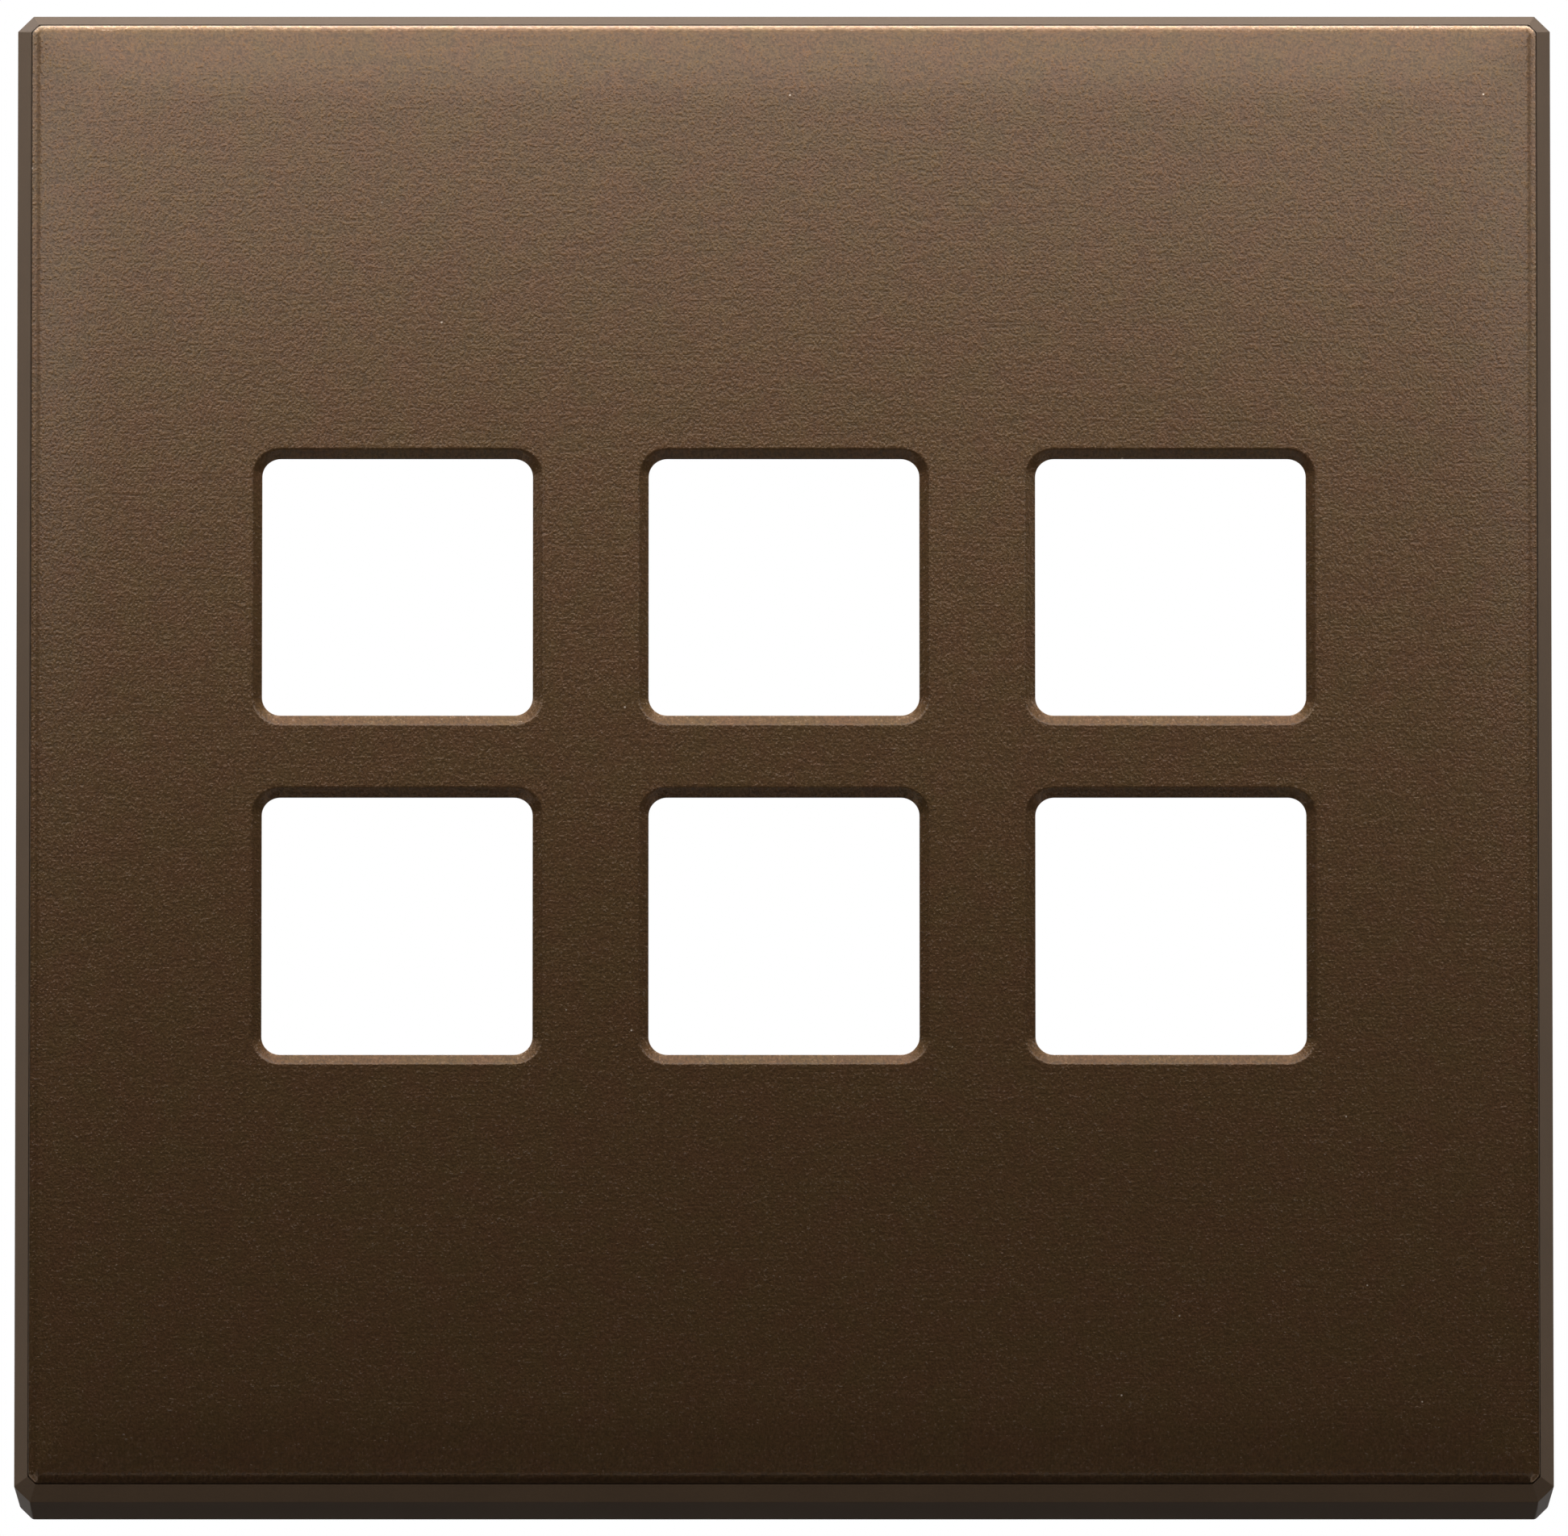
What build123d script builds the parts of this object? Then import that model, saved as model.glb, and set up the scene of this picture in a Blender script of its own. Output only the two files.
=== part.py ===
"""Screwless front plate for a six-module grid switch.

A sheet-metal face with six punched windows lies in a shallow seat on the front of a moulded carrier.
The carrier shows as the bevelled rim and the side of the plate, and clips over the grid frame on the wall.
Everything is drawn flat, with local Z the distance out from the wall, and stood up at the end.
Millimetres. Stood up: X right and Z up as seen from the front, the front facing -Y, the wall at Y = 0.
"""

import math
import os

from build123d import *

# Outline of the plate at its widest, seen from the front
plate_width = 146.0
plate_height = 146.0
corner_cut = 1.5

# Moulded rim: side wall, bevel above it, flat top of the lip
side_depth = 8.6
side_taper = 0.45
bevel_width = 1.1
bevel_depth = 1.75
rim_land = 0.15

# Sheet-metal face and the seat it lies in
sheet_thickness = 1.0
seat_recess = 0.3
edge_gap = 0.03
roll_radius = 0.6
sheet_corner_round = 0.7

# Windows for the switch modules, a little below the plate's middle as a group
window_columns = 3
window_rows = 2
window_width = 25.7
window_height = 25.2
window_corner = 1.75
window_pitch_across = 36.75
window_pitch_up = 33.3
window_drop = 0.5
window_flare = 0.2
coin_width = 0.97
coin_depth = 0.27

# Carrier behind the face
web_thickness = 1.8
skirt_root = 2.3
skirt_foot = 1.7
hollow_corner = 2.0
window_setback = 1.4
collar_thickness = 1.2
rib_thickness = 1.2
rib_height = 2.0

# Snap hooks round the hollow
hooks_per_side = 2
hook_spacing = 100.0
hook_width = 9.0
hook_thickness = 1.4
hook_gap = 2.4
hook_end_clearance = 0.9
barb_reach = 0.8
barb_catch = 0.5
barb_lead = 1.5
hook_root_flare = 0.5
core_slot_clearance = 0.2

# Levels above the wall, each following from the sizes above
rim_foot = side_depth
rim_top = rim_foot + bevel_depth
seat = rim_top - seat_recess
front = seat + sheet_thickness
web_back = seat - web_thickness
rib_end = web_back - rib_height
wall = 0.0

# Insets from the widest outline
rim_top_inset = bevel_width
seat_inset = bevel_width + rim_land
sheet_inset = seat_inset + edge_gap
hollow_root_inset = skirt_root
hollow_foot_inset = side_taper + skirt_foot

# A leg of the corner cut gets this much shorter for each millimetre the outline moves in
cut_shrink = 2.0 - math.sqrt(2.0)


def outline(inset):
    """Plate outline with its cut corners, moved in evenly by inset."""
    blank = Rectangle(plate_width - 2 * inset, plate_height - 2 * inset)
    return chamfer(blank.vertices(), corner_cut - cut_shrink * inset)


def frustum(low_sketch, low, high_sketch, high):
    """Straight-sided solid between two sketches at two levels."""
    return loft([Pos(0, 0, low) * low_sketch, Pos(0, 0, high) * high_sketch], ruled=True)


def slab(sketch, low, high):
    """Upright solid on a sketch between two levels."""
    return extrude(Pos(0, 0, low) * sketch, high - low)


def window(growth):
    """Rounded window opening in its place below the middle of its grid cell, grown on every side."""
    width = window_width + 2 * growth
    height = window_height + 2 * growth
    return Pos(0, -window_drop) * RectangleRounded(width, height, window_corner + growth)


def hollow(inset):
    """Rear hollow's outline, its corners rounded for the mould."""
    return RectangleRounded(plate_width - 2 * inset, plate_height - 2 * inset, hollow_corner)


window_grid = GridLocations(window_pitch_across, window_pitch_up, window_columns, window_rows)


# Face: blanked sheet, front edge rolled over, windows coined and punched with the punch's flare behind
def make_face_panel():
    blank = fillet(outline(sheet_inset).vertices(), sheet_corner_round)
    sheet = slab(blank, seat, front)
    front_edges = sheet.faces().sort_by(Axis.Z)[-1].edges()
    sheet = fillet(front_edges, roll_radius)
    punched = frustum(window(window_flare), seat, window(0), front - coin_depth)
    coined = frustum(window(0), front - coin_depth, window(coin_width), front)
    return sheet - window_grid * (punched + coined)


# One snap hook, drawn as a profile: x outwards from its inner face, y along the depth
def make_hook():
    end = wall + hook_end_clearance
    lead_foot = end + barb_lead
    catch_foot = lead_foot + barb_catch
    profile = Polygon(
        (0.0, web_back),
        (0.0, catch_foot),
        (-barb_reach, lead_foot),
        (0.0, end),
        (hook_thickness, end),
        (hook_thickness, web_back - hook_root_flare),
        (hook_thickness + hook_root_flare, web_back),
        align=None,
    )
    return extrude(Plane.XZ * profile, hook_width / 2, both=True)


# Slot in the web that lets the mould's core form the barb
def make_core_slot():
    slot = Rectangle(barb_reach, hook_width + 2 * core_slot_clearance, align=(Align.MAX, Align.CENTER))
    return slab(slot, web_back, seat)


# Places of the hooks, two along each side of the hollow, facing the middle
def hook_places():
    reach_across = plate_width / 2 - hollow_root_inset - hook_gap - hook_thickness
    reach_up = plate_height / 2 - hollow_root_inset - hook_gap - hook_thickness
    across = GridLocations(0, hook_spacing, 1, hooks_per_side)
    places = []
    for turn, reach in ((0, reach_across), (90, reach_up), (180, reach_across), (270, reach_up)):
        places += [Rot(0, 0, turn) * Pos(reach, 0, 0) * along for along in across]
    return places


# Ribs from the windows' collars into the skirt and between the collars
def make_ribs():
    rows = GridLocations(0, window_pitch_up, 1, window_rows)
    columns = GridLocations(window_pitch_across, 0, window_columns, 1)
    rib_across = Pos(0, -window_drop) * Rectangle(plate_width - skirt_root, rib_thickness)
    rib_up = Rectangle(rib_thickness, plate_height - skirt_root)
    return rows * slab(rib_across, rib_end, web_back) + columns * slab(rib_up, rib_end, web_back)


# Carrier: bevelled rim and tapered side that meet at the parting line, hollow, collars, ribs and hooks
def make_carrier_frame():
    side = frustum(outline(side_taper), wall, outline(0), rim_foot)
    bevel = frustum(outline(0), rim_foot, outline(rim_top_inset), rim_top)
    shell = side + bevel
    shell -= frustum(hollow(hollow_foot_inset), wall, hollow(hollow_root_inset), web_back)
    shell -= slab(outline(seat_inset), seat, rim_top)
    collar = slab(window(window_setback + collar_thickness), rib_end, web_back)
    shell += window_grid * collar + make_ribs()
    places = hook_places()
    shell += [place * make_hook() for place in places]
    shell -= [place * make_core_slot() for place in places]
    return shell - window_grid * slab(window(window_setback), rib_end, seat)


stand_up = Rot(90, 0, 0)
os.makedirs("parts", exist_ok=True)
export_step(stand_up * make_face_panel(), "parts/face_panel.step")
export_step(stand_up * make_carrier_frame(), "parts/carrier_frame.step")
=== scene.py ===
"""Screwless grid switch plate: a bronze sheet-metal face in a moulded carrier, and its stage.

Everything is in metres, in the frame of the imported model: X right and Z up as seen from the front,
the front facing -Y, the wall plane at Y = 0. "Out" is the distance out from the wall, so Y = -out.
"""

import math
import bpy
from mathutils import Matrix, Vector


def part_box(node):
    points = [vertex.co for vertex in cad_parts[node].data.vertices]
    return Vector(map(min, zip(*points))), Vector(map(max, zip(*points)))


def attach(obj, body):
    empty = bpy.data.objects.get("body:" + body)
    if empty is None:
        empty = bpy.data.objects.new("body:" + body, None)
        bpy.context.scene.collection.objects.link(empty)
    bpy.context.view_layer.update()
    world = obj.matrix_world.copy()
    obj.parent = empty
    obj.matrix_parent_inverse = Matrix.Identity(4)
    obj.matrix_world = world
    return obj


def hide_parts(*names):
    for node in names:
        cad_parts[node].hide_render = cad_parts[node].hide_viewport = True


bl_info = {
    "name": "Grid switch plate",
    "version": (1, 0, 0),
    "blender": (4, 5, 0),
    "location": "3D View > Sidebar > Switch plate",
    "description": "Builds a screwless grid switch plate and the stage it is shown on",
    "category": "Add Mesh",
}

import bmesh
import bpy
import numpy as np
from bpy.props import FloatProperty, FloatVectorProperty, IntProperty, PointerProperty
from mathutils import Vector
from mathutils.geometry import delaunay_2d_cdt

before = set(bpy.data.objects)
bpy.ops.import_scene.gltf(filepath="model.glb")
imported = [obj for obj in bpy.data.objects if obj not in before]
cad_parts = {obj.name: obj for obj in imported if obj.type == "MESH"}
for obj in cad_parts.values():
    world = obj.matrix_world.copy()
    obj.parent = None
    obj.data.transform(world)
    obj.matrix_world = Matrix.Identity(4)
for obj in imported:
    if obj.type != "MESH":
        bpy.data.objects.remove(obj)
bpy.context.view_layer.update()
sheet_low, sheet_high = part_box("face_panel")
moulding_low, moulding_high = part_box("carrier_frame")

MM = 0.001
ROOT = "root"

# Points on a quarter of a loop and steps on a rounded edge
CORNER_POINTS = 12
ROUND_STEPS = 6
MERGE_DISTANCE = 0.001 * MM
SMOOTH_ANGLE = math.radians(32)
HOOKS_PER_SIDE = 2

# A leg of a cut corner gets this much shorter for each unit the outline moves in
CUT_SHRINK = 2 - math.sqrt(2)


def linear(hex_colour):
    """Scene-linear colour of an sRGB hex value, by the curve of the sRGB standard."""
    parts = np.array([int(hex_colour[i : i + 2], 16) for i in (1, 3, 5)]) / 255
    return tuple(np.where(parts <= 0.04045, parts / 12.92, ((parts + 0.055) / 1.055) ** 2.4))


def length(name, description, millimetres):
    """A length property in metres from a default in millimetres."""
    return FloatProperty(
        name=name,
        description=description,
        default=millimetres * MM,
        min=0,
        unit="LENGTH",
        precision=5,
    )


def colour(name, description, hex_colour):
    """A colour property from an sRGB hex default."""
    return FloatVectorProperty(
        name=name,
        description=description,
        default=linear(hex_colour),
        size=3,
        min=0,
        max=1,
        subtype="COLOR",
    )


class PlateSizes(bpy.types.PropertyGroup):
    """Sizes of the plate."""

    width: length("Width", "Widest outline, across", (moulding_high.x - moulding_low.x) / MM)
    height: length("Height", "Widest outline, up", (moulding_high.z - moulding_low.z) / MM)
    corner_cut: length("Corner cut", "Leg of the cut corner at the widest outline", 1.5)
    side_depth: length("Side depth", "Wall to the widest outline", 8.6)
    side_taper: length("Side taper", "How far the side moves in by the wall", 0.45)
    bevel_width: length("Bevel width", "Rim's bevel seen from the front", 1.25)
    rim_top: length("Rim top", "Wall to the top of the rim", -moulding_low.y / MM)
    rim_land: length("Rim land", "Flat top of the rim", 0.05)
    seat: length("Seat", "Wall to the seat that the sheet lies on", -sheet_high.y / MM)
    front: length("Front", "Wall to the front of the sheet", -sheet_low.y / MM)
    edge_gap: length("Edge gap", "Gap round the sheet", 0.03)
    roll_width: length("Roll width", "Width along the edge in which the sheet turns over", 0.62)
    roll_drop: length("Roll drop", "How far the sheet turns over at its edge", 0.3)
    crown_width: length("Crown width", "Width along the edge in which the sheet bends back", 9.0)
    crown_slope: FloatProperty(
        name="Crown slope",
        description="Slope of the sheet at its edge",
        default=math.radians(3.5),
        subtype="ANGLE",
    )
    sheet_corner: length("Sheet corner", "Rounding of the sheet's cut corners", 0.7)
    window_width: length("Window width", "Window opening, across", 25.7)
    window_height: length("Window height", "Window opening, up", 25.2)
    window_corner: length("Window corner", "Rounding of the window's corners", 1.75)
    pitch_across: length("Pitch across", "Window spacing, across", 36.75)
    pitch_up: length("Pitch up", "Window spacing, up", 33.3)
    window_drop: length("Window drop", "Middle of the windows below the plate's middle", 0.5)
    columns: IntProperty(name="Columns", description="Windows across", default=3, min=1)
    rows: IntProperty(name="Rows", description="Windows up", default=2, min=1)
    coin_width: length("Coined width", "Coined bevel round a window, seen from the front", 0.97)
    coin_depth: length("Coined depth", "Depth of the coined bevel", 0.27)
    flare: length("Window flare", "How far the punched window widens behind the coined bevel", 0.2)
    coin_blend: length("Coined blend", "Radius where the coined bevel runs into the face", 1.0)
    web: length("Web", "Thickness of the carrier behind the sheet", 1.8)
    skirt_root: length("Skirt root", "Skirt thickness at the web", 2.3)
    skirt_foot: length("Skirt foot", "Skirt thickness at the wall", 1.7)
    hollow_corner: length("Hollow corner", "Rounding of the rear hollow's corners", 2.0)
    setback: length("Window setback", "Carrier's window outside the sheet's", 1.4)
    collar: length("Collar", "Thickness of the collar round a window", 1.2)
    rib: length("Rib", "Thickness of a rib", 1.2)
    rib_height: length("Rib height", "Height of ribs and collars", 2.0)
    hook_spacing: length("Hook spacing", "Between the two hooks of a side", 100.0)
    hook_width: length("Hook width", "Width of a snap hook", 9.0)
    hook_thickness: length("Hook thickness", "Thickness of a snap hook", 1.4)
    hook_gap: length("Hook gap", "Snap hook to the skirt", 2.4)
    hook_end: length("Hook end", "Wall to the hook's end", 0.9)
    barb_reach: length("Barb reach", "How far a barb stands out", 0.8)
    barb_catch: length("Barb catch", "Depth of the barb's catching slope", 0.5)
    barb_lead: length("Barb lead", "Depth of the barb's leading slope", 1.5)
    hook_flare: length("Hook flare", "Flare at a hook's root", 0.5)
    slot_clearance: length("Slot clearance", "Core slot past the hook's width, each end", 0.2)


class PlateFinishes(bpy.types.PropertyGroup):
    """Colours of the plate."""

    bronze_warm: colour("Bronze, warm", "Redder clouds of the sheet's finish", "#5a3f27")
    bronze_olive: colour("Bronze, olive", "Greener clouds of the sheet's finish", "#584126")
    dust: colour("Dust", "Specks of dust on the sheet", "#c9b8a6")
    moulding: colour("Moulding", "Brown polymer of the carrier", "#4e3e2f")
    moulding_dark: colour("Moulding, dark grain", "Hollows of the moulding's grain", "#45372a")


class PlateStage(bpy.types.PropertyGroup):
    """Camera and stage."""

    camera_below: FloatProperty(
        name="Camera below",
        description="Angle of the camera below the plate",
        default=math.radians(14.754),
        subtype="ANGLE",
    )
    lens: FloatProperty(
        name="Lens",
        description="Long lens that keeps the sides parallel",
        default=1650,
        unit="CAMERA",
    )
    frame_width: length("Frame width", "Width that the camera frames at the plate", 149.14)
    aim_out: length("Aim", "Wall to the point that the camera looks at", 4.626)
    floor: colour("Floor", "Pale floor", "#d8d6d2")
    black_card: colour("Black card", "Cards low at the back and beside the scrim", "#2b2a29")
    shade_card: colour("Shade card", "Cards mirrored by the lower edge of the face", "#454341")
    dark_card: colour("Dark card", "Cards mirrored by the foot of the face", "#2f2e2d")
    dim_card: colour("Dim card", "Card mirrored by the upper bevels of the windows", "#cac8c4")
    grey_card: colour("Grey card", "Cards at the sides, behind the plate", "#98968f")
    pale_card: colour("Pale card", "Card behind, level with the plate", "#e8e6e2")


# Loops: closed outlines in the plane of the plate, as arrays of rows, points and (x, z)


def mirrored(corner):
    """Whole loops from their upper right corners: the corner, its two mirror images and itself turned
    half round."""
    flip_x, flip_z = np.array([-1.0, 1.0]), np.array([1.0, -1.0])
    left, right = corner[:, ::-1] * flip_x, corner[:, ::-1] * flip_z
    return np.concatenate((corner, left, -corner, right), axis=1)


def rounded_loops(half_width, half_height, radius):
    """Rounded rectangles: each corner's centre plus the radius turned through a quarter circle."""
    half_width, half_height, radius = np.broadcast_arrays(
        np.atleast_1d(half_width), np.atleast_1d(half_height), np.atleast_1d(radius)
    )
    turn = np.linspace(0, math.pi / 2, CORNER_POINTS)
    x = (half_width - radius)[:, None] + radius[:, None] * np.cos(turn)
    z = (half_height - radius)[:, None] + radius[:, None] * np.sin(turn)
    return mirrored(np.stack((x, z), axis=-1))


def cut_loops(half_width, half_height, cut, radius):
    """Rectangles with cut corners: two eighth turns of the radius, set in from the two points of
    each cut."""
    half_width, half_height, cut, radius = np.broadcast_arrays(
        np.atleast_1d(half_width), np.atleast_1d(half_height), np.atleast_1d(cut), np.atleast_1d(radius)
    )
    eighth = math.pi / 4
    turn = np.linspace(0, eighth, CORNER_POINTS // 2)
    short_leg = radius * math.tan(eighth / 2)
    lower_centre = np.stack((half_width - radius, half_height - cut - short_leg), axis=-1)
    upper_centre = np.stack((half_width - cut - short_leg, half_height - radius), axis=-1)
    lower_turn = np.stack((np.cos(turn), np.sin(turn)), axis=-1)
    upper_turn = np.stack((np.cos(turn + eighth), np.sin(turn + eighth)), axis=-1)
    lower = lower_centre[:, None] + radius[:, None, None] * lower_turn
    upper = upper_centre[:, None] + radius[:, None, None] * upper_turn
    return mirrored(np.concatenate((lower, upper), axis=1))


def rounded_profile(corners, radii):
    """Polyline with its inner corners rounded: from each corner's first tangent point, an arc about the
    corner's centre through the angle that the line turns there."""
    corners, radii = np.asarray(corners, float), np.asarray(radii, float)
    steps = np.diff(corners, axis=0)
    steps /= np.linalg.norm(steps, axis=1, keepdims=True)
    before, after = steps[:-1], steps[1:]
    turn = np.arctan2(
        before[:, 0] * after[:, 1] - before[:, 1] * after[:, 0], (before * after).sum(axis=1)
    )
    tangent = radii * np.tan(np.abs(turn) / 2)
    start = corners[1:-1] - tangent[:, None] * before
    side = np.sign(turn)[:, None] * np.stack((-before[:, 1], before[:, 0]), axis=-1)
    centre = start + radii[:, None] * side
    angle = turn[:, None] * np.linspace(0, 1, ROUND_STEPS + 1)
    arm = (start - centre)[:, None]
    x = arm[..., 0] * np.cos(angle) - arm[..., 1] * np.sin(angle)
    y = arm[..., 0] * np.sin(angle) + arm[..., 1] * np.cos(angle)
    arcs = centre[:, None] + np.stack((x, y), axis=-1)
    return np.concatenate((corners[:1], arcs.reshape(-1, 2), corners[-1:]))


# Surfaces: arrays of points and of faces


def carried(loops, outs):
    """Profile carried along a path: each row of points is a loop at its distance out from the wall, and
    quads join each row to the next."""
    rows, count = loops.shape[:2]
    outs = np.broadcast_to(np.asarray(outs, float)[:, None], (rows, count))
    points = np.stack((loops[..., 0], -outs, loops[..., 1]), axis=-1).reshape(-1, 3)
    first = np.arange(rows - 1)[:, None] * count
    here, beside = first + np.arange(count), first + (np.arange(count) + 1) % count
    return points, np.stack((here, beside, beside + count, here + count), axis=-1).reshape(-1, 4)


def flat_sheet(outer, holes, out):
    """Flat sheet at one distance out: triangles between an outer loop and the loops of its holes."""
    loops = [outer, *holes]
    ends = np.cumsum([len(loop) for loop in loops])
    rings = [list(range(end - len(loop), end)) for loop, end in zip(loops, ends)]
    flat = [Vector(point) for point in np.concatenate(loops)]
    inside_only = 1
    coords, _, faces, _, _, owners = delaunay_2d_cdt(flat, [], rings, inside_only, MERGE_DISTANCE / 10)
    coords = np.array([tuple(point) for point in coords])
    points = np.stack((coords[:, 0], np.full(len(coords), -out), coords[:, 1]), axis=-1)
    return points, [face for face, owner in zip(faces, owners) if owner == [0]]


def copied(surface, places):
    """Copies of a surface moved to each place (x, z), as one surface."""
    points, faces = surface
    offsets = np.stack((places[:, 0], np.zeros(len(places)), places[:, 1]), axis=-1)
    moved = (offsets[:, None] + points).reshape(-1, 3)
    shift = np.arange(len(places))[:, None, None] * len(points)
    return moved, (np.asarray(faces) + shift).reshape(-1, np.shape(faces)[1])


def new_piece(name, surfaces, material):
    """One object at the origin from several surfaces, its shared points merged and its faces turned
    outwards."""
    points = np.concatenate([surface[0] for surface in surfaces])
    starts = np.cumsum([0] + [len(surface[0]) for surface in surfaces[:-1]])
    faces = [
        (np.asarray(face) + start).tolist() for (_, part), start in zip(surfaces, starts) for face in part
    ]
    mesh = bpy.data.meshes.new(name)
    mesh.from_pydata(points.tolist(), [], faces)
    work = bmesh.new()
    work.from_mesh(mesh)
    bmesh.ops.remove_doubles(work, verts=work.verts, dist=MERGE_DISTANCE)
    bmesh.ops.recalc_face_normals(work, faces=work.faces)
    work.to_mesh(mesh)
    work.free()
    mesh.shade_smooth()
    mesh.set_sharp_from_angle(angle=SMOOTH_ANGLE)
    mesh.materials.append(material)
    piece = bpy.data.objects.new(name, mesh)
    bpy.context.scene.collection.objects.link(piece)
    even = piece.modifiers.new("even_shading", "WEIGHTED_NORMAL")
    even.keep_sharp = True
    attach(piece, ROOT)
    return piece


# Outlines of this plate


def plate_loops(sizes, inset, radius):
    """Plate's outline with its cut corners, moved in evenly."""
    inset = np.atleast_1d(inset)
    cut = sizes.corner_cut - CUT_SHRINK * inset
    return cut_loops(sizes.width / 2 - inset, sizes.height / 2 - inset, cut, radius)


def window_loops(sizes, growth):
    """Window's outline, grown evenly."""
    growth = np.atleast_1d(growth)
    half_width, half_height = sizes.window_width / 2, sizes.window_height / 2
    return rounded_loops(half_width + growth, half_height + growth, sizes.window_corner + growth)


def hollow_loops(sizes, inset):
    """Rear hollow's outline, moved in evenly from the plate's."""
    return rounded_loops(sizes.width / 2 - inset, sizes.height / 2 - inset, sizes.hollow_corner)


def spread(count, pitch):
    """Places of count things at one pitch, centred on zero."""
    return (np.arange(count) - (count - 1) / 2) * pitch


def column_places(sizes):
    """Middles of the windows' columns."""
    return spread(sizes.columns, sizes.pitch_across)


def row_places(sizes):
    """Middles of the windows' rows."""
    return spread(sizes.rows, sizes.pitch_up) - sizes.window_drop


def window_places(sizes):
    """Middles of the windows."""
    x, z = np.meshgrid(column_places(sizes), row_places(sizes))
    return np.stack((x.ravel(), z.ravel()), axis=-1)


def seat_inset(sizes):
    """How far the seat's wall lies inside the widest outline."""
    return sizes.bevel_width + sizes.rim_land


def hook_reach(half_size, sizes):
    """Middle of the plate to the inner face of a hook."""
    return half_size - sizes.skirt_root - sizes.hook_gap - sizes.hook_thickness


def hook_turns(sizes):
    """For each hook: the unit vector outwards, the unit vector along its width, and its middle."""
    sides = np.array([[1, 0], [0, 1], [-1, 0], [0, -1]], float)
    out = np.repeat(sides, HOOKS_PER_SIDE, axis=0)
    along = np.stack((-out[:, 1], out[:, 0]), axis=-1)
    half_size = np.abs(out) @ np.array([sizes.width / 2, sizes.height / 2])
    reach = hook_reach(half_size, sizes)
    offset = np.tile(spread(HOOKS_PER_SIDE, sizes.hook_spacing), len(sides))
    return out, along, out * reach[:, None] + along * offset[:, None]


# Materials


def add_node(tree, kind, values=None, links=None, **settings):
    """One node with its settings, its socket values and the outputs that feed it."""
    node = tree.nodes.new(kind)
    for name, value in settings.items():
        setattr(node, name, value)
    for socket, value in (values or {}).items():
        node.inputs[socket].default_value = value
    for socket, source in (links or {}).items():
        tree.links.new(source, node.inputs[socket])
    return node


def new_material(name):
    """Empty node material and its tree."""
    material = bpy.data.materials.new(name)
    material.use_nodes = True
    material.node_tree.nodes.clear()
    return material, material.node_tree


def rgba(colour_value):
    """Opaque colour for a socket."""
    return (*colour_value, 1.0)


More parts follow.
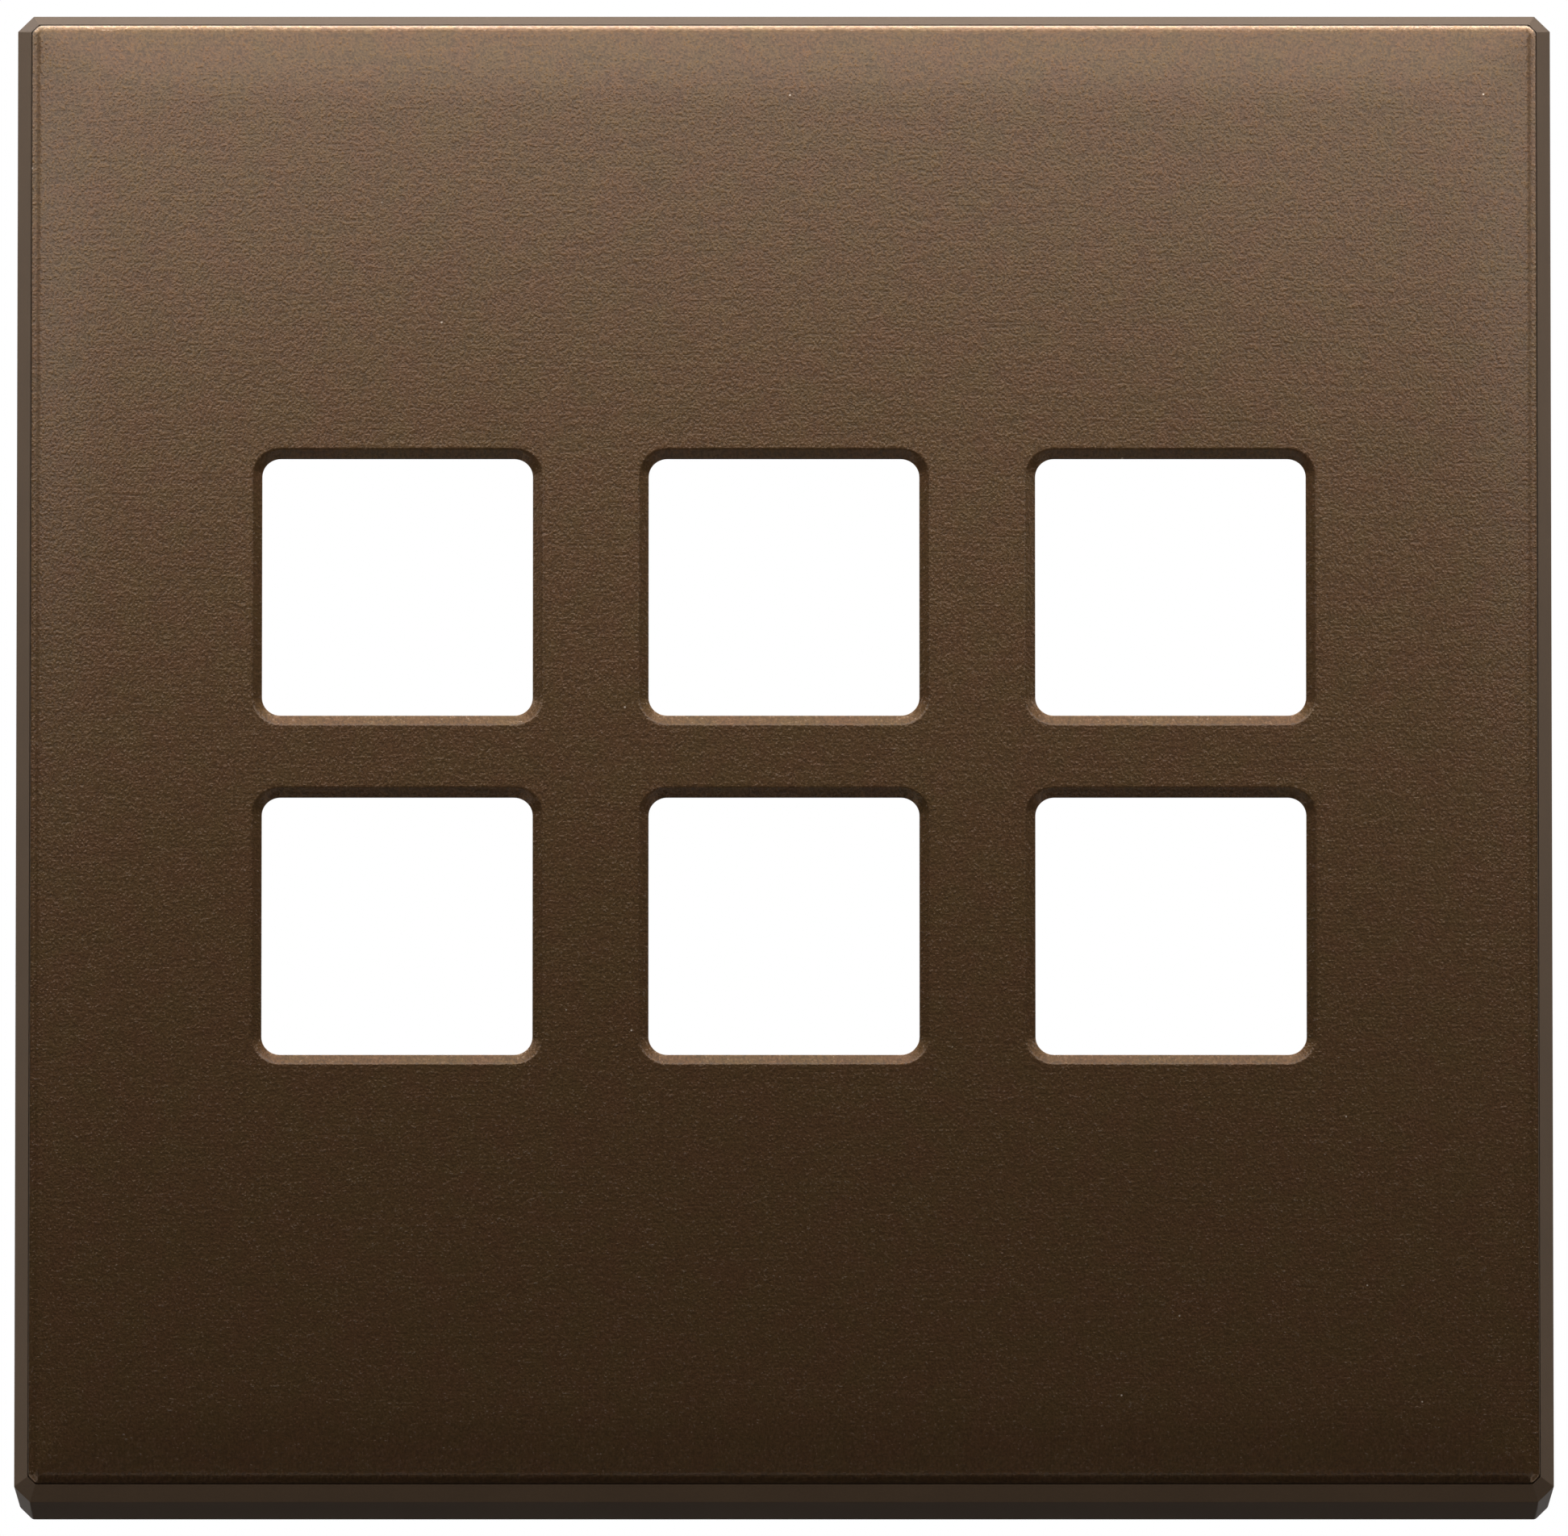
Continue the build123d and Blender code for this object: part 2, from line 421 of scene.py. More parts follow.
def satin_bronze(finishes):
    """Lacquered bronze-finish sheet, rubbed with a fine abrasive before lacquering: a satin metal sheen
    that fades softly across the face, a short horizontal grain and a few specks of dust."""
    grain_length, grain_width, grain_depth = 0.19 * MM, 0.235 * MM, 0.05 * MM
    stroke_length, stroke_width, stroke_share = 5.0 * MM, 0.2 * MM, 0.2
    relief_low, relief_high = 0.4, 0.8
    glint_low, glint_high, glint_depth = 0.76, 0.96, 0.04 * MM
    cloud_size = 3.5 * MM
    speck_spacing, speck_radius, speck_core = 5.0 * MM, 0.11 * MM, 0.06 * MM
    # Grain and strokes are one slice of their noise, so they are the same at every depth of the sheet
    noise_slice = (0.0, 0.5, 0.0)
    material, tree = new_material("satin_bronze_sheet")
    place = add_node(tree, "ShaderNodeTexCoord").outputs["Object"]
    grain_map = add_node(
        tree,
        "ShaderNodeMapping",
        {"Location": noise_slice, "Scale": (1 / grain_length, 0.0, 1 / grain_width)},
        {"Vector": place},
    )
    grain = add_node(
        tree,
        "ShaderNodeTexNoise",
        {"Scale": 1.0, "Detail": 1.0, "Roughness": 0.5},
        {"Vector": grain_map.outputs["Vector"]},
    )
    stroke_map = add_node(
        tree,
        "ShaderNodeMapping",
        {"Location": noise_slice, "Scale": (1 / stroke_length, 0.0, 1 / stroke_width)},
        {"Vector": place},
    )
    stroke = add_node(
        tree,
        "ShaderNodeTexNoise",
        {"Scale": 1.0, "Detail": 1.0, "Roughness": 0.5},
        {"Vector": stroke_map.outputs["Vector"]},
    )
    cloud = add_node(
        tree,
        "ShaderNodeTexNoise",
        {"Scale": 1 / cloud_size, "Detail": 2.0, "Roughness": 0.5},
        {"Vector": place},
    )
    relief = add_node(
        tree,
        "ShaderNodeMath",
        {1: stroke_share},
        {0: stroke.outputs["Fac"], 2: grain.outputs["Fac"]},
        operation="MULTIPLY_ADD",
    )
    drift = add_node(
        tree,
        "ShaderNodeMapRange",
        {"From Min": 0.35, "From Max": 0.65},
        {"Value": cloud.outputs["Fac"]},
    )
    clouded = add_node(
        tree,
        "ShaderNodeMix",
        {"A": rgba(finishes.bronze_warm), "B": rgba(finishes.bronze_olive)},
        {"Factor": drift.outputs["Result"]},
        data_type="RGBA",
    )
    tone = add_node(
        tree,
        "ShaderNodeMapRange",
        {"From Min": relief_low, "From Max": relief_high, "To Min": 0.7, "To Max": 1.3},
        {"Value": relief.outputs["Value"]},
    )
    grained = add_node(
        tree,
        "ShaderNodeMix",
        {"Factor": 1.0},
        {"A": clouded.outputs["Result"], "B": tone.outputs["Result"]},
        data_type="RGBA",
        blend_type="MULTIPLY",
    )
    specks = add_node(
        tree,
        "ShaderNodeTexVoronoi",
        {"Scale": 1 / speck_spacing, "Randomness": 1.0},
        {"Vector": place},
    )
    speck = add_node(
        tree,
        "ShaderNodeMapRange",
        {"From Min": speck_radius / speck_spacing, "From Max": speck_core / speck_spacing},
        {"Value": specks.outputs["Distance"]},
    )
    dusted = add_node(
        tree,
        "ShaderNodeMix",
        {"B": rgba(finishes.dust)},
        {"Factor": speck.outputs["Result"], "A": grained.outputs["Result"]},
        data_type="RGBA",
    )
    gloss = add_node(
        tree,
        "ShaderNodeMapRange",
        {"From Min": relief_low, "From Max": relief_high, "To Min": 0.375, "To Max": 0.315},
        {"Value": relief.outputs["Value"]},
    )
    bump = add_node(
        tree,
        "ShaderNodeBump",
        {"Strength": 0.4, "Distance": grain_depth},
        {"Height": relief.outputs["Value"]},
    )
    peaks = add_node(
        tree,
        "ShaderNodeMapRange",
        {"From Min": glint_low, "From Max": glint_high},
        {"Value": relief.outputs["Value"]},
    )
    glints = add_node(
        tree,
        "ShaderNodeBump",
        {"Strength": 0.35, "Distance": glint_depth},
        {"Height": peaks.outputs["Result"], "Normal": bump.outputs["Normal"]},
    )
    metal = add_node(
        tree,
        "ShaderNodeBsdfPrincipled",
        {"Metallic": 1.0, "Coat Weight": 0.8, "Coat Roughness": 0.18},
        {
            "Base Color": dusted.outputs["Result"],
            "Roughness": gloss.outputs["Result"],
            "Normal": bump.outputs["Normal"],
            "Coat Normal": glints.outputs["Normal"],
        },
    )
    add_node(tree, "ShaderNodeOutputMaterial", None, {"Surface": metal.outputs["BSDF"]})
    return material


def brown_polymer(finishes):
    """Injection-moulded brown polymer from a spark-eroded tool: smooth to the eye, with a soft sheen and
    a grain of about a tenth of a millimetre, drawn a little coarser so that it shows."""
    grit, grit_depth = 0.18 * MM, 0.015 * MM
    flow, flow_share = 9.0 * MM, 0.5
    material, tree = new_material("moulded_brown_polymer")
    place = add_node(tree, "ShaderNodeTexCoord").outputs["Object"]
    grain = add_node(
        tree,
        "ShaderNodeTexNoise",
        {"Scale": 1 / grit, "Detail": 2.0, "Roughness": 0.6},
        {"Vector": place},
    )
    drift = add_node(
        tree,
        "ShaderNodeTexNoise",
        {"Scale": 1 / flow, "Detail": 1.0, "Roughness": 0.5},
        {"Vector": place},
    )
    blend = add_node(
        tree,
        "ShaderNodeMath",
        {1: flow_share},
        {0: drift.outputs["Fac"], 2: grain.outputs["Fac"]},
        operation="MULTIPLY_ADD",
    )
    tone = add_node(
        tree,
        "ShaderNodeMapRange",
        {"From Min": 0.5, "From Max": 1.0},
        {"Value": blend.outputs["Value"]},
    )
    body = add_node(
        tree,
        "ShaderNodeMix",
        {"A": rgba(finishes.moulding_dark), "B": rgba(finishes.moulding)},
        {"Factor": tone.outputs["Result"]},
        data_type="RGBA",
    )
    gloss = add_node(
        tree,
        "ShaderNodeMapRange",
        {"To Min": 0.5, "To Max": 0.58},
        {"Value": grain.outputs["Fac"]},
    )
    bump = add_node(
        tree,
        "ShaderNodeBump",
        {"Strength": 0.2, "Distance": grit_depth},
        {"Height": grain.outputs["Fac"]},
    )
    polymer = add_node(
        tree,
        "ShaderNodeBsdfPrincipled",
        {"Metallic": 0.0, "IOR": 1.5, "Specular IOR Level": 0.25},
        {
            "Base Color": body.outputs["Result"],
            "Roughness": gloss.outputs["Result"],
            "Normal": bump.outputs["Normal"],
        },
    )
    add_node(tree, "ShaderNodeOutputMaterial", None, {"Surface": polymer.outputs["BSDF"]})
    return material


def matt(name, colour_value):
    """Plain matt surface for the stage."""
    material, tree = new_material(name)
    surface = add_node(tree, "ShaderNodeBsdfDiffuse", {"Color": rgba(colour_value)})
    add_node(tree, "ShaderNodeOutputMaterial", None, {"Surface": surface.outputs["BSDF"]})
    return material


def shared(name, make, finishes):
    """Material by that name, made the first time it is asked for."""
    return bpy.data.materials.get(name) or make(finishes)


# Operators


class SWITCHPLATE_OT_face(bpy.types.Operator):
    """Make the sheet-metal face: rolled edge, cut corners, coined windows"""

    bl_idname = "switch_plate.face"
    bl_label = "Face panel"

    def execute(self, context):
        sizes = context.scene.plate_sizes
        material = shared("satin_bronze_sheet", satin_bronze, context.scene.plate_finishes)
        edge = seat_inset(sizes) + sizes.edge_gap
        # Radii of the burr, of the sheet where it turns over and of its brink
        burr, shoulder, brink = 0.06 * MM, 2.0 * MM, 0.3 * MM
        # Share of the crown that its bend takes, and how the corners open from the edge inwards
        bend_share, cut_growth, corner_growth = 0.74, 0.5, 0.8
        blend_margin = 0.3 * MM
        crown_drop = (sizes.crown_width / 2 - sizes.roll_width) * math.tan(sizes.crown_slope)
        crown_radius = bend_share * sizes.crown_width / 2 / math.tan(sizes.crown_slope / 2)
        rim_profile = rounded_profile(
            [
                (edge + sizes.crown_width, sizes.front),
                (edge + sizes.crown_width / 2, sizes.front),
                (edge + sizes.roll_width, sizes.front - crown_drop),
                (edge, sizes.front - crown_drop - sizes.roll_drop),
                (edge, sizes.seat),
                (edge + 2 * burr, sizes.seat),
            ],
            [crown_radius, shoulder, brink, burr],
        )
        insets, outs = rim_profile[:, 0], rim_profile[:, 1]
        rolled = np.minimum(insets - edge, sizes.roll_width)
        crowned = np.maximum(insets - edge - sizes.roll_width, 0)
        cut = sizes.corner_cut - CUT_SHRINK * (edge + rolled) + cut_growth * crowned
        corner = sizes.sheet_corner - rolled + corner_growth * crowned
        rim_loops = cut_loops(sizes.width / 2 - insets, sizes.height / 2 - insets, cut, corner)
        window_profile = rounded_profile(
            [
                (sizes.coin_width + blend_margin, sizes.front),
                (sizes.coin_width, sizes.front),
                (0.0, sizes.front - sizes.coin_depth),
                (sizes.flare, sizes.seat),
                (sizes.flare + 2 * burr, sizes.seat),
            ],
            [sizes.coin_blend, burr, burr],
        )
        window_rows = window_loops(sizes, window_profile[:, 0])
        places = window_places(sizes)
        front_holes = [window_rows[0] + place for place in places]
        back_holes = [window_rows[-1] + place for place in places]
        surfaces = [
            carried(rim_loops, outs),
            copied(carried(window_rows, window_profile[:, 1]), places),
            flat_sheet(rim_loops[0], front_holes, sizes.front),
            flat_sheet(rim_loops[-1], back_holes, sizes.seat),
        ]
        piece = new_piece("bronze_face", surfaces, material)
        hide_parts("face_panel")
        return {"FINISHED"}


class SWITCHPLATE_OT_carrier(bpy.types.Operator):
    """Make the carrier: bevelled rim, tapered side, hollow, web and window collars"""

    bl_idname = "switch_plate.carrier"
    bl_label = "Carrier"

    def execute(self, context):
        sizes = context.scene.plate_sizes
        material = shared("moulded_brown_polymer", brown_polymer, context.scene.plate_finishes)
        web_back = sizes.seat - sizes.web
        rib_end = web_back - sizes.rib_height
        foot_inset = sizes.side_taper + sizes.skirt_foot
        # Radii along the profiles, then of the outline's corners at the rim and at the foot
        lip, crest, parting, foot, root = 0.02 * MM, 0.04 * MM, 0.15 * MM, 0.12 * MM, 0.5 * MM
        rim_round, foot_round = 0.15 * MM, 0.5 * MM
        rim_profile = rounded_profile(
            [
                (seat_inset(sizes), sizes.seat),
                (seat_inset(sizes), sizes.rim_top),
                (sizes.bevel_width, sizes.rim_top),
                (0.0, sizes.side_depth),
                (sizes.side_taper, 0.0),
                ((sizes.side_taper + foot_inset) / 2, 0.0),
            ],
            [lip, crest, parting, foot],
        )
        skirt_profile = rounded_profile(
            [
                ((sizes.side_taper + foot_inset) / 2, 0.0),
                (foot_inset, 0.0),
                (sizes.skirt_root, web_back),
                (sizes.skirt_root + 2 * root, web_back),
            ],
            [foot, root],
        )
        vertex_round = np.interp(rim_profile[:, 1], [0, sizes.side_depth], [foot_round, rim_round])
        rim_rows = plate_loops(sizes, rim_profile[:, 0], vertex_round)
        skirt_rows = hollow_loops(sizes, skirt_profile[:, 0])
        rim_loops = np.concatenate((rim_rows, skirt_rows))
        rim_outs = np.concatenate((rim_profile[:, 1], skirt_profile[:, 1]))
        collar_profile = rounded_profile(
            [
                (sizes.setback, sizes.seat),
                (sizes.setback, rib_end),
                (sizes.setback + sizes.collar, rib_end),
                (sizes.setback + sizes.collar, web_back),
                (sizes.setback + sizes.collar + root, web_back),
            ],
            [foot, foot, root / 2],
        )
        collar_rows = window_loops(sizes, collar_profile[:, 0])
        places = window_places(sizes)
        slots = self.slot_loops(sizes)
        front_holes = [collar_rows[0] + place for place in places] + slots
        back_holes = [collar_rows[-1] + place for place in places] + slots
        surfaces = [
            carried(rim_loops, rim_outs),
            copied(carried(collar_rows, collar_profile[:, 1]), places),
            flat_sheet(rim_loops[0], front_holes, sizes.seat),
            flat_sheet(rim_loops[-1], back_holes, web_back),
        ]
        surfaces += [carried(np.stack((loop, loop)), [sizes.seat, web_back]) for loop in slots]
        piece = new_piece("moulded_carrier", surfaces, material)
        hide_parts("carrier_frame")
        return {"FINISHED"}

    @staticmethod
    def slot_loops(sizes):
        """Core slots in the web, each under a hook's barb, on the inner side of the hook."""
        out, along, middle = hook_turns(sizes)
        half_reach = sizes.barb_reach / 2
        half_width = sizes.hook_width / 2 + sizes.slot_clearance
        slot_round = 0.15 * MM
        loop = rounded_loops(half_reach, half_width, slot_round)[0]
        return [
            centre - half_reach * side + loop[:, :1] * side + loop[:, 1:] * run
            for side, run, centre in zip(out, along, middle)
        ]


class SWITCHPLATE_OT_ribs(bpy.types.Operator):
    """Make the ribs that join the collars to each other and to the skirt"""

    bl_idname = "switch_plate.ribs"
    bl_label = "Ribs"

    def execute(self, context):
        sizes = context.scene.plate_sizes
        material = shared("moulded_brown_polymer", brown_polymer, context.scene.plate_finishes)
        rows, columns = row_places(sizes), column_places(sizes)
        across = self.spans(columns, sizes.window_width, sizes.width, sizes)
        up = self.spans(rows, sizes.window_height, sizes.height, sizes)
        surfaces = []
        for low, high in across:
            bar = self.bar((high - low) / 2, sizes.rib / 2, sizes)
            places = np.stack((np.full(len(rows), (low + high) / 2), rows), axis=-1)
            surfaces += [copied(surface, places) for surface in bar]
        for low, high in up:
            bar = self.bar(sizes.rib / 2, (high - low) / 2, sizes)
            places = np.stack((columns, np.full(len(columns), (low + high) / 2)), axis=-1)
            surfaces += [copied(surface, places) for surface in bar]
        piece = new_piece("carrier_ribs", surfaces, material)
        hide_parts("carrier_frame")
        return {"FINISHED"}

    @staticmethod
    def spans(middles, window, plate, sizes):
        """Start and end of each rib along a line: from the skirt to a collar, from collar to collar and
        on to the skirt."""
        collar_middle = window / 2 + sizes.setback + sizes.collar / 2
        skirt_middle = (plate - sizes.skirt_root) / 2
        starts = np.concatenate(([-skirt_middle], middles + collar_middle))
        ends = np.concatenate((middles - collar_middle, [skirt_middle]))
        return list(zip(starts, ends))

    @staticmethod
    def bar(half_across, half_up, sizes):
        """One rib: a rounded bar standing on the web, its foot sunk in the web and its top edge rounded
        over."""
        web_back = sizes.seat - sizes.web
        top = web_back - sizes.rib_height
        sunk, top_round, top_inset = 0.3 * MM, 0.2 * MM, 0.3 * MM
        end_round, least_round = 0.25 * MM, 0.02 * MM
        profile = rounded_profile([(0.0, web_back + sunk), (0.0, top), (top_inset, top)], [top_round])
        inset, outs = profile[:, 0], profile[:, 1]
        corner = np.maximum(end_round - inset, least_round)
        loops = rounded_loops(half_across - inset, half_up - inset, corner)
        count = loops.shape[1]
        lid = [list(range(count))]
        low = np.stack((loops[0, :, 0], np.full(count, -outs[0]), loops[0, :, 1]), axis=-1)
        high = np.stack((loops[-1, :, 0], np.full(count, -outs[-1]), loops[-1, :, 1]), axis=-1)
        return [carried(loops, outs), (low, lid), (high, lid)]


class SWITCHPLATE_OT_hooks(bpy.types.Operator):
    """Make the snap hooks round the hollow"""

    bl_idname = "switch_plate.hooks"
    bl_label = "Snap hooks"

    def execute(self, context):
        sizes = context.scene.plate_sizes
        material = shared("moulded_brown_polymer", brown_polymer, context.scene.plate_finishes)
        web_back = sizes.seat - sizes.web
        sunk = 0.3 * MM
        # Radii of the outline's corners, from the barb's root round its end to the foot of the flare
        rounds = np.array([0.15, 0.1, 0.2, 0.2, 0.4, 0.1]) * MM
        edge_round, edge_steps, edge_angle = 0.12 * MM, 2, math.radians(60)
        lead = sizes.hook_end + sizes.barb_lead
        back = sizes.hook_thickness
        outline = rounded_profile(
            [
                (0.0, web_back + sunk),
                (0.0, lead + sizes.barb_catch),
                (-sizes.barb_reach, lead),
                (0.0, sizes.hook_end),
                (back, sizes.hook_end),
                (back, web_back - sizes.hook_flare),
                (back + sizes.hook_flare, web_back),
                (back + sizes.hook_flare, web_back + sunk),
            ],
            rounds,
        )
        count = len(outline)
        half = sizes.hook_width / 2
        ends = np.array([-half, half])
        here, beside = np.arange(count), (np.arange(count) + 1) % count
        walls = np.stack((here, beside, beside + count, here + count), axis=-1)
        lids = np.stack((here[::-1], here + count))
        surfaces = []
        for side, run, middle in zip(*hook_turns(sizes)):
            flat = middle + outline[None, :, :1] * side + ends[:, None, None] * run
            outs = np.broadcast_to(outline[:, 1], flat.shape[:2])
            points = np.stack((flat[..., 0], -outs, flat[..., 1]), axis=-1).reshape(-1, 3)
            surfaces += [(points, walls), (points, lids)]
        piece = new_piece("snap_hooks", surfaces, material)
        edges = piece.modifiers.new("moulded_edges", "BEVEL")
        edges.width = edge_round
        edges.segments = edge_steps
        edges.limit_method = "ANGLE"
        edges.angle_limit = edge_angle
        # The edges are rounded before the shading is evened
        piece.modifiers.move(1, 0)
        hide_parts("carrier_frame")
        return {"FINISHED"}


class SWITCHPLATE_OT_stage(bpy.types.Operator):
    """Make the camera, the floor, the card surround and the lights"""

    bl_idname = "switch_plate.stage"
    bl_label = "Stage"

    def execute(self, context):
        scene, stage = context.scene, context.scene.plate_stage
        scene.view_settings.view_transform = "Standard"
        self.camera(scene, stage)
        self.world(scene)
        self.floor(stage)
        self.cards(stage)
        self.lamps()
        return {"FINISHED"}

    @staticmethod
    def camera(scene, stage):
        """Camera below the plate, at the distance from which the lens frames the wanted width."""
        sensor_width, nearest, farthest = 36, 0.1, 100
        data = bpy.data.cameras.new("camera")
        data.lens = stage.lens
        data.sensor_width = sensor_width
        distance = stage.frame_width * data.lens / data.sensor_width
        data.clip_start, data.clip_end = nearest, farthest
        below = stage.camera_below
        towards = Vector((0, -math.cos(below), -math.sin(below)))
        camera = bpy.data.objects.new("camera", data)
        camera.location = Vector((0, -stage.aim_out, 0)) + towards * distance
        camera.rotation_euler = (-towards).to_track_quat("-Z", "Y").to_euler()
        scene.collection.objects.link(camera)
        scene.camera = camera

    @staticmethod
    def world(scene):
        """Plain white room."""
        world = bpy.data.worlds.new("white_room")
        world.use_nodes = True
        world.node_tree.nodes.clear()
        tree = world.node_tree
        white = add_node(tree, "ShaderNodeBackground", {"Color": (1, 1, 1, 1), "Strength": 1.0})
        add_node(tree, "ShaderNodeOutputWorld", None, {"Surface": white.outputs["Background"]})
        scene.world = world

    @staticmethod
    def put(name, surface, material):
        """One thing of the stage from its points and faces."""
        points, faces = surface
        mesh = bpy.data.meshes.new(name)
        mesh.from_pydata(points.tolist(), [], np.asarray(faces).tolist())
        mesh.materials.append(material)
        thing = bpy.data.objects.new(name, mesh)
        bpy.context.scene.collection.objects.link(thing)
        return thing

    def floor(self, stage):
        """Square floor below the plate."""
        half, level = 0.5, -0.6
        corners = ((-half, -half), (half, -half), (half, half), (-half, half))
        points = np.array([(x, y, level) for x, y in corners])
        self.put("floor", (points, [[0, 1, 2, 3]]), matt("pale_floor", stage.floor))

    def cards(self, stage):
        """Cards round the plate, out of the camera's sight, which keep the white room out of the lower
        reflections, so that the face fades from its top to its foot. The dark card in front is lower
        beside its middle, so that the face stays lighter at its sides. Each card is a corner, a run and
        a rise."""
        # Depths of the far cards, the front wall, the front edges of the rear side walls and the rear wall
        far, front, low_side, high_side, rear = -1.5, -0.4, -0.05, -0.02, 0.3
        # Heights of the ground, of the trough in front of and below the plate, and of the cards' feet
        ground, trough = -0.6, -0.35
        far_foot, dim_foot, pale_foot, dark_foot = -0.3, -0.108, -0.09, -0.06
        # Heights of the cards' tops, the dark ones beside the middle, in the middle and at the sides
        dark_top, middle_top, side_top = 0.138, 0.162, 0.15
        far_top, pale_top, grey_top = 1.6, 0.13, 0.2
        # Half widths of the walls and cards, and of the opening between the far cards
        side, trough_side, middle_side, dim_side, opening = 0.4, 0.2, 0.085, 0.25, 0.54
        far_run, pale_left, pale_run = 2.06, -0.12, 0.21
        # Small flags that the lower corners of the face mirror
        flag_near, flag_run, flag_foot, flag_rise = 0.31, 0.25, -0.41, 0.24
        black = (
            ((-opening - far_run, far, far_foot), (far_run, 0, 0), (0, 0, far_top - far_foot)),
            ((opening, far, far_foot), (far_run, 0, 0), (0, 0, far_top - far_foot)),
            ((-side, rear, ground), (2 * side, 0, 0), (0, 0, pale_foot - ground)),
            ((side, low_side, ground), (0, rear - low_side, 0), (0, 0, dark_foot - ground)),
        )
        shade = (
            ((-trough_side, front, trough), (2 * trough_side, 0, 0), (0, 0, dim_foot - trough)),
            ((-trough_side, front, trough), (2 * trough_side, 0, 0), (0, rear - front, 0)),
        )
        dark = (
            ((-side, front, dark_foot), (2 * side, 0, 0), (0, 0, dark_top - dark_foot)),
            ((-middle_side, front, dark_top), (2 * middle_side, 0, 0), (0, 0, middle_top - dark_top)),
            ((-side, front, dark_foot), (0, high_side - front, 0), (0, 0, side_top - dark_foot)),
            ((side, front, dark_foot), (0, high_side - front, 0), (0, 0, side_top - dark_foot)),
            ((-flag_near - flag_run, front, flag_foot), (flag_run, 0, 0), (0, 0, flag_rise)),
            ((flag_near, front, flag_foot), (flag_run, 0, 0), (0, 0, flag_rise)),
        )
        dim = (((-dim_side, front, dim_foot), (2 * dim_side, 0, 0), (0, 0, dark_foot - dim_foot)),)
        grey = (
            ((-side, low_side, ground), (0, rear - low_side, 0), (0, 0, dark_foot - ground)),
            ((-side, high_side, dark_foot), (0, rear - high_side, 0), (0, 0, grey_top - dark_foot)),
            ((side, high_side, dark_foot), (0, rear - high_side, 0), (0, 0, grey_top - dark_foot)),
        )
        pale = (((pale_left, rear, pale_foot), (pale_run, 0, 0), (0, 0, pale_top - pale_foot)),)
        for name, cards, tint in (
            ("black_cards", black, stage.black_card),
            ("shade_cards", shade, stage.shade_card),
            ("dark_cards", dark, stage.dark_card),
            ("dim_cards", dim, stage.dim_card),
            ("grey_cards", grey, stage.grey_card),
            ("pale_cards", pale, stage.pale_card),
        ):
            corner, run, rise = np.swapaxes(np.array(cards, float), 0, 1)
            outline = np.stack((corner, corner + run, corner + run + rise, corner + rise), axis=1)
            points = outline.reshape(-1, 3)
            faces = np.arange(len(points)).reshape(-1, 4)
            thing = self.put(name, (points, faces), matt(name, tint))
            thing.visible_camera = False

    @staticmethod
    def lamps():
        """Soft lamps: a scrim in front that the face mirrors, strips and scrims that its left and right
        edges mirror, boxes overhead for its upper edge, and fills. Low fills stay out of reflections."""
        # Name, place, the point that the lamp faces, its width and height, its radiance
        for name, where, aim, size, radiance in (
            ("front_scrim", (0.0, -1.5, 0.65), (0.0, 0.0, 0.05), (1.08, 0.9), 1.63),
            ("left_strip", (-0.18, -0.2, 0.15), (-0.07, -0.01, 0.15), (0.065, 0.14), 0.8),
            ("right_strip", (0.18, -0.2, 0.15), (0.07, -0.01, 0.15), (0.065, 0.14), 0.8),
            ("left_scrim", (-0.4075, -0.225, 0.33), (0.0, -0.149, 0.33), (0.356, 0.35), 2.3),
            ("right_scrim", (0.4075, -0.225, 0.33), (0.0, -0.149, 0.33), (0.356, 0.35), 2.4),
            ("overhead_box", (0.0, -0.068, 0.25), (0.0, -0.068, 0.0), (0.44, 0.04), 20.0),
            ("overhead_lip", (0.0, -0.145, 0.25), (0.0, -0.145, 0.0), (0.44, 0.09), 2.5),
            ("low_left_fill", (-0.27, -0.385, -0.2), (0.0, -0.01, -0.07), (0.2, 0.2), 4.4),
            ("low_right_fill", (0.27, -0.385, -0.2), (0.0, -0.01, -0.07), (0.2, 0.2), 3.8),
            ("back_fill", (-0.5, 0.9, 0.8), (0.0, 0.0, 0.0), (0.8, 0.8), 1.5),
        ):
            data = bpy.data.lights.new(name, "AREA")
            data.shape = "RECTANGLE"
            data.size, data.size_y = size
            data.energy = radiance * math.pi * data.size * data.size_y
            lamp = bpy.data.objects.new(name, data)
            lamp.visible_camera = False
            lamp.visible_glossy = not name.startswith("low")
            lamp.location = where
            towards = Vector(aim) - Vector(where)
            lamp.rotation_euler = towards.to_track_quat("-Z", "Y").to_euler()
            bpy.context.scene.collection.objects.link(lamp)


class SWITCHPLATE_PT_panel(bpy.types.Panel):
    """Sidebar list of the plate's pieces and sizes"""

    bl_idname = "SWITCHPLATE_PT_panel"
    bl_label = "Switch plate"
    bl_space_type = "VIEW_3D"
    bl_region_type = "UI"
    bl_category = "Switch plate"

    def draw(self, context):
        for maker in MAKERS:
            self.layout.operator(maker.bl_idname)
        for group in (context.scene.plate_sizes, context.scene.plate_finishes, context.scene.plate_stage):
            for name in group.bl_rna.properties.keys():
                if name not in ("rna_type", "name"):
                    self.layout.prop(group, name)


GROUPS = {"plate_sizes": PlateSizes, "plate_finishes": PlateFinishes, "plate_stage": PlateStage}
MAKERS = (
    SWITCHPLATE_OT_face,
    SWITCHPLATE_OT_carrier,
    SWITCHPLATE_OT_ribs,
    SWITCHPLATE_OT_hooks,
    SWITCHPLATE_OT_stage,
)


def register():
    for name, group in GROUPS.items():
        bpy.utils.register_class(group)
        setattr(bpy.types.Scene, name, PointerProperty(type=group))
    for maker in (*MAKERS, SWITCHPLATE_PT_panel):
        bpy.utils.register_class(maker)


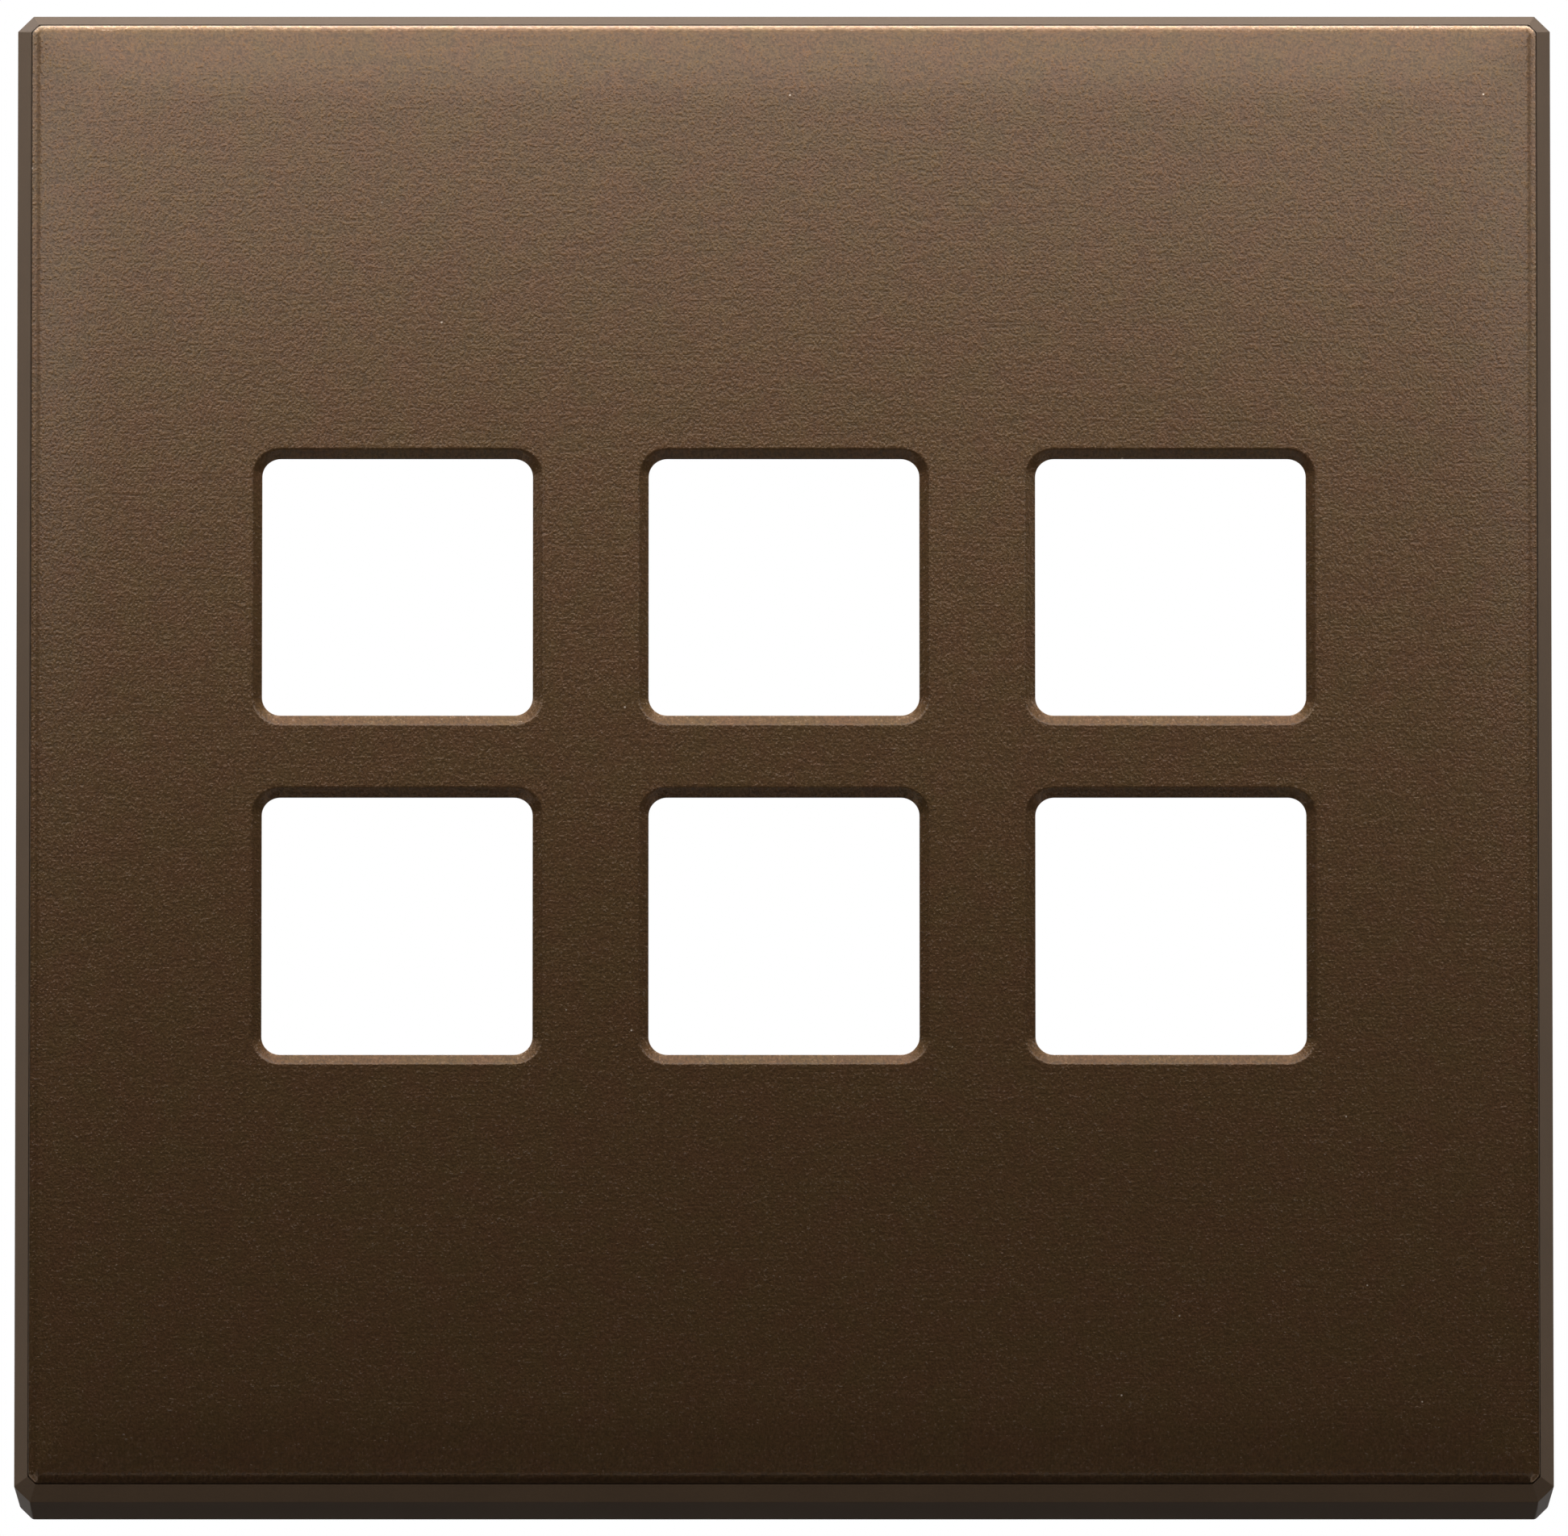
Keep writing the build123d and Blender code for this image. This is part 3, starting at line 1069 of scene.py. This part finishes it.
def unregister():
    for maker in (SWITCHPLATE_PT_panel, *reversed(MAKERS)):
        bpy.utils.unregister_class(maker)
    for name, group in reversed(GROUPS.items()):
        delattr(bpy.types.Scene, name)
        bpy.utils.unregister_class(group)


def main():
    register()
    bpy.ops.switch_plate.face()
    bpy.ops.switch_plate.carrier()
    bpy.ops.switch_plate.ribs()
    bpy.ops.switch_plate.hooks()
    bpy.ops.switch_plate.stage()


if __name__ == "__main__":
    main()
